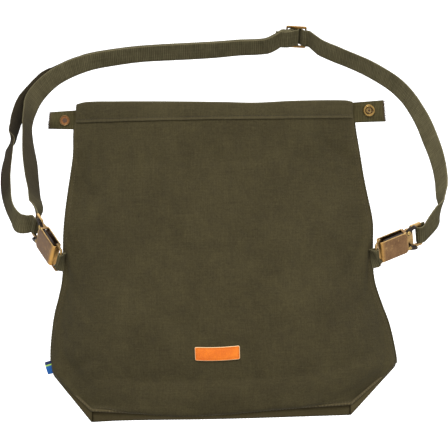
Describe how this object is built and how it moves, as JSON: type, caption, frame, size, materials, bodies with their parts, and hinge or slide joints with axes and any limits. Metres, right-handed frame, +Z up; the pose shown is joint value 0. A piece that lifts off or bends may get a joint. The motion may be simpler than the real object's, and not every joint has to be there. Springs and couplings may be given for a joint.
{
  "type": "fruit picking bag",
  "caption": "Deep waxed-canvas picking bag with an open hemmed mouth, snap tabs at its corners and an adjustable waist belt held by brass side-release buckles.",
  "frame": {"origin": "on the outer face of the back panel, where the bag rests on the wearer, at the middle of the panel", "axes": "+Y out of the back panel towards the wearer, +Z up towards the mouth, +X to the right seen from the front"},
  "size_m": [0.4597, 0.3149, 0.4105],
  "materials": {
    "canvas": "waxed cotton canvas, matt",
    "canvas_gusset": "waxed cotton canvas, matt",
    "webbing": "ribbed cotton webbing, matt",
    "tab_webbing": "cotton webbing, cut end, matt",
    "label": "smooth orange leather, blank",
    "tag": "woven ribbon, plain bands",
    "brass": "aged brass, satin",
    "brass_bright": "polished brass",
    "steel_dark": "blackened spring steel",
    "stay": "flat springy strip inside the hem"
  },
  "bodies": {
    "bag": {"front_panel": "canvas", "back_panel": "canvas", "bottom_gusset": "canvas_gusset", "corner_gusset_left": "canvas_gusset", "corner_gusset_right": "canvas_gusset", "front_hem": "canvas", "back_hem": "canvas", "hem_stay": "stay", "leather_label": "label", "side_tag": "tag"},
    "snap_tab_left": {"tab_left": "tab_webbing", "snap_post": "brass_bright", "snap_stud": "brass_bright"},
    "snap_tab_right": {"tab_right": "tab_webbing", "snap_socket": "brass_bright", "snap_cap": "brass_bright"},
    "belt": {"belt_webbing": "webbing", "buckle_left_housing": "brass", "buckle_right_housing": "brass", "belt_ring_left": "brass", "belt_ring_right": "brass", "anchor_loop_left": "webbing", "anchor_loop_right": "webbing"},
    "slider": {"slider": "brass"},
    "buckle_left_insert": {"buckle_left_insert": "brass", "buckle_left_pin_upper": "brass_bright", "buckle_left_pin_lower": "brass_bright", "buckle_left_spring": "steel_dark"},
    "lever_left_upper": {"buckle_left_lever_upper": "steel_dark"},
    "lever_left_lower": {"buckle_left_lever_lower": "steel_dark"},
    "buckle_right_insert": {"buckle_right_insert": "brass", "buckle_right_pin_upper": "brass_bright", "buckle_right_pin_lower": "brass_bright", "buckle_right_spring": "steel_dark"},
    "lever_right_upper": {"buckle_right_lever_upper": "steel_dark"},
    "lever_right_lower": {"buckle_right_lever_lower": "steel_dark"}
  },
  "joints": [
    {"name": "belt_swing", "type": "hinge", "parent": "bag", "child": "belt", "pos_m": [-0.00614, -0.00803, -0.00097], "axis": [0.9999, 0, 0.0141], "range_deg": [-75, 125], "stiffness_Nm_per_rad": 0.4, "springref_deg": 6.13, "deforming": ["anchor_loop_left", "anchor_loop_right"]},
    {"name": "tab_left_flap", "type": "hinge", "parent": "bag", "child": "snap_tab_left", "pos_m": [-0.1526, -0.0032, 0.1385], "axis": [0, 0, 1], "range_deg": [-90, 100]},
    {"name": "tab_right_flap", "type": "hinge", "parent": "bag", "child": "snap_tab_right", "pos_m": [0.1326, -0.0032, 0.146], "axis": [0, 0, -1], "range_deg": [-90, 100]},
    {"name": "buckle_left_release", "type": "slide", "parent": "belt", "child": "buckle_left_insert", "axis": [-0.4701, 0.6001, 0.6472], "range_m": [0, 0.032], "deforming": ["belt_webbing"]},
    {"name": "lever_left_upper_squeeze", "type": "hinge", "parent": "buckle_left_insert", "child": "lever_left_upper", "pos_m": [-0.18318, 0.01126, 0.03134], "axis": [0.8592, 0.4791, 0.1798], "range_deg": [0, 8], "stiffness_Nm_per_rad": 0.05, "springref_deg": -8.02, "deforming": ["buckle_left_spring"]},
    {"name": "lever_left_lower_squeeze", "type": "hinge", "parent": "buckle_left_insert", "child": "lever_left_lower", "pos_m": [-0.18706, 0.02355, 0.01711], "axis": [0.8592, 0.4791, 0.1798], "range_deg": [-8, 0]},
    {"name": "buckle_right_release", "type": "slide", "parent": "belt", "child": "buckle_right_insert", "axis": [0.8803, 0.3181, 0.3521], "range_m": [0, 0.032], "deforming": ["belt_webbing"]},
    {"name": "lever_right_upper_squeeze", "type": "hinge", "parent": "buckle_right_insert", "child": "lever_right_upper", "pos_m": [0.18448, 0.0036, 0.02629], "axis": [0.4653, -0.7242, -0.509], "range_deg": [0, 8], "stiffness_Nm_per_rad": 0.05, "springref_deg": -8.02, "deforming": ["buckle_right_spring"]},
    {"name": "lever_right_lower_squeeze", "type": "hinge", "parent": "buckle_right_insert", "child": "lever_right_lower", "pos_m": [0.18626, 0.01535, 0.01121], "axis": [0.4653, -0.7242, -0.509], "range_deg": [-8, 0]},
    {"name": "slider_adjust", "type": "slide", "parent": "belt", "child": "slider", "axis": [0.9982, 0, -0.0599], "range_m": [-0.03, 0.02], "deforming": ["belt_webbing"]}
  ],
  "couplings": [
    {"joint": "lever_left_lower_squeeze", "follows": "lever_left_upper_squeeze", "ratio": -1},
    {"joint": "lever_right_lower_squeeze", "follows": "lever_right_upper_squeeze", "ratio": -1}
  ]
}
